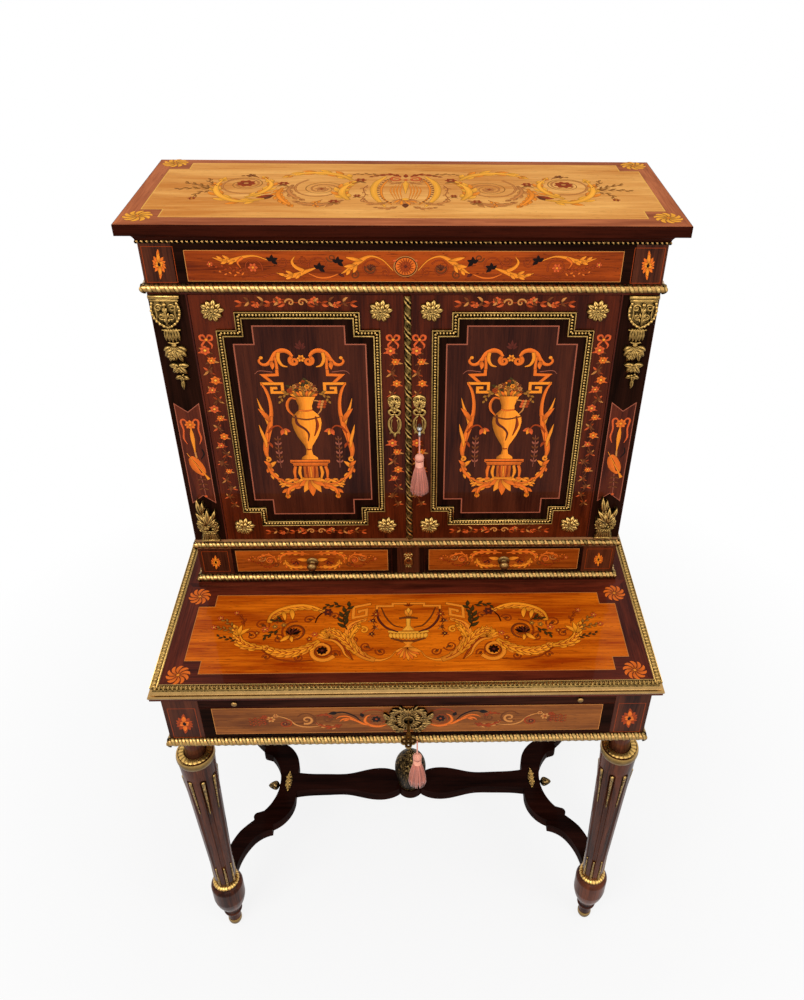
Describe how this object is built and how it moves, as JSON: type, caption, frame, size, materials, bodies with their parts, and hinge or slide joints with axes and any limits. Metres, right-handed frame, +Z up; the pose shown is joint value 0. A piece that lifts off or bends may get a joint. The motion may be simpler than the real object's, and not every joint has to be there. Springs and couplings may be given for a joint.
{
  "type": "bonheur du jour",
  "caption": "Ladies' writing desk with a marquetry cupboard, small drawers, a long drawer, a writing slide and fluted legs joined by a curved stretcher.",
  "frame": {"origin": "on the floor under the middle of the whole desk, halfway in depth between the back plane and the front of the drawer key's bow", "axes": "+X to the right seen from the front, +Y to the back, +Z up"},
  "size_m": [0.838, 0.575, 1.466],
  "materials": {
    "ebonised_wood": "french polish",
    "gilt": "burnished gilding",
    "marquetry": "french polish",
    "carcass_wood": "waxed",
    "leather": "tooled",
    "steel": "polished",
    "silk": "silk thread"
  },
  "bodies": {
    "desk": {"apron_back": "carcass_wood", "apron_moulding": "gilt", "apron_sides": "marquetry", "cabinet_back": "carcass_wood", "cabinet_boards": "carcass_wood", "cabinet_mouldings": "gilt", "cabinet_shelf": "carcass_wood", "cabinet_sides": "marquetry", "capitals": "gilt", "centre_escutcheon": "gilt", "centre_lock": "steel", "corner_blocks": "marquetry", "cornice": "marquetry", "cross_stretcher": "ebonised_wood", "door_pins": "steel", "drawer_guides": "carcass_wood", "drawer_row_blocks": "marquetry", "drawer_runners": "carcass_wood", "flower_baskets": "gilt", "flower_drops": "gilt", "flute_mounts": "gilt", "frieze_front": "marquetry", "front_rail": "carcass_wood", "leg_rings": "gilt", "leg_sabots": "gilt", "legs": "ebonised_wood", "pilasters": "marquetry", "side_stretchers": "ebonised_wood", "slide_bed": "carcass_wood", "stretcher_finial": "ebonised_wood", "stretcher_mounts": "gilt", "table_edge": "gilt", "table_top": "marquetry"},
    "left_door": {"left_door": "marquetry", "left_door_frame": "gilt", "left_door_mounts": "gilt"},
    "right_door": {"right_door": "marquetry", "right_door_frame": "gilt", "right_door_mounts": "gilt", "door_astragal": "gilt", "door_lock": "steel"},
    "door_bolt": {"door_bolt": "steel"},
    "door_key": {"door_key": "steel"},
    "door_tassel": {"door_key_cord": "silk", "door_key_tassel": "silk"},
    "left_small_drawer": {"left_small_drawer": "marquetry", "left_drawer_knob": "gilt"},
    "right_small_drawer": {"right_small_drawer": "marquetry", "right_drawer_knob": "gilt"},
    "long_drawer": {"long_drawer_front": "marquetry", "long_drawer_box": "carcass_wood", "long_drawer_escutcheon": "gilt", "drawer_lock": "steel"},
    "drawer_bolt": {"drawer_bolt": "steel"},
    "drawer_key": {"drawer_key": "gilt"},
    "drawer_tassel": {"drawer_key_cord": "silk", "drawer_key_tassel": "silk"},
    "writing_slide": {"slide_board": "carcass_wood", "slide_leather": "leather", "slide_knobs": "gilt"}
  },
  "joints": [
    {"name": "left_door_hinge", "type": "hinge", "parent": "desk", "child": "left_door", "pos_m": [-0.3132, 0.02, 1.118], "axis": [0, 0, -1], "range_deg": [0, 90]},
    {"name": "right_door_hinge", "type": "hinge", "parent": "desk", "child": "right_door", "pos_m": [0.3132, 0.02, 1.118], "axis": [0, 0, 1], "range_deg": [0, 90]},
    {"name": "left_small_drawer_slide", "type": "slide", "parent": "desk", "child": "left_small_drawer", "axis": [0, -1, 0], "range_m": [0, 0.16]},
    {"name": "right_small_drawer_slide", "type": "slide", "parent": "desk", "child": "right_small_drawer", "axis": [0, -1, 0], "range_m": [0, 0.16]},
    {"name": "long_drawer_slide", "type": "slide", "parent": "desk", "child": "long_drawer", "axis": [0, -1, 0], "range_m": [0, 0.3]},
    {"name": "writing_slide_slide", "type": "slide", "parent": "desk", "child": "writing_slide", "axis": [0, -1, 0], "range_m": [0, 0.28]},
    {"name": "door_key_turn", "type": "hinge", "parent": "right_door", "child": "door_key", "pos_m": [0.02, 0.014, 1.125], "axis": [0, 1, 0], "range_deg": [0, 90]},
    {"name": "door_bolt_slide", "type": "slide", "parent": "right_door", "child": "door_bolt", "axis": [-1, 0, 0], "range_m": [0, 0.007]},
    {"name": "door_tassel_swing", "type": "hinge", "parent": "door_key", "child": "door_tassel", "pos_m": [0.02, -0.007, 1.11987], "axis": [0, 1, 0], "range_deg": [-90, 0]},
    {"name": "drawer_key_turn", "type": "hinge", "parent": "long_drawer", "child": "drawer_key", "pos_m": [0, -0.2325, 0.69], "axis": [0, 1, 0], "range_deg": [0, 90]},
    {"name": "drawer_bolt_slide", "type": "slide", "parent": "long_drawer", "child": "drawer_bolt", "axis": [0, 0, 1], "range_m": [0, 0.007]},
    {"name": "drawer_tassel_swing", "type": "hinge", "parent": "drawer_key", "child": "drawer_tassel", "pos_m": [0.00702, -0.2735, 0.69], "axis": [0, 1, 0], "range_deg": [-90, 0]}
  ],
  "couplings": [
    {"joint": "door_bolt_slide", "follows": "door_key_turn", "m_per_rad": 0.0044563},
    {"joint": "door_tassel_swing", "follows": "door_key_turn", "ratio": -1},
    {"joint": "drawer_bolt_slide", "follows": "drawer_key_turn", "m_per_rad": 0.0044563},
    {"joint": "drawer_tassel_swing", "follows": "drawer_key_turn", "ratio": -1}
  ]
}
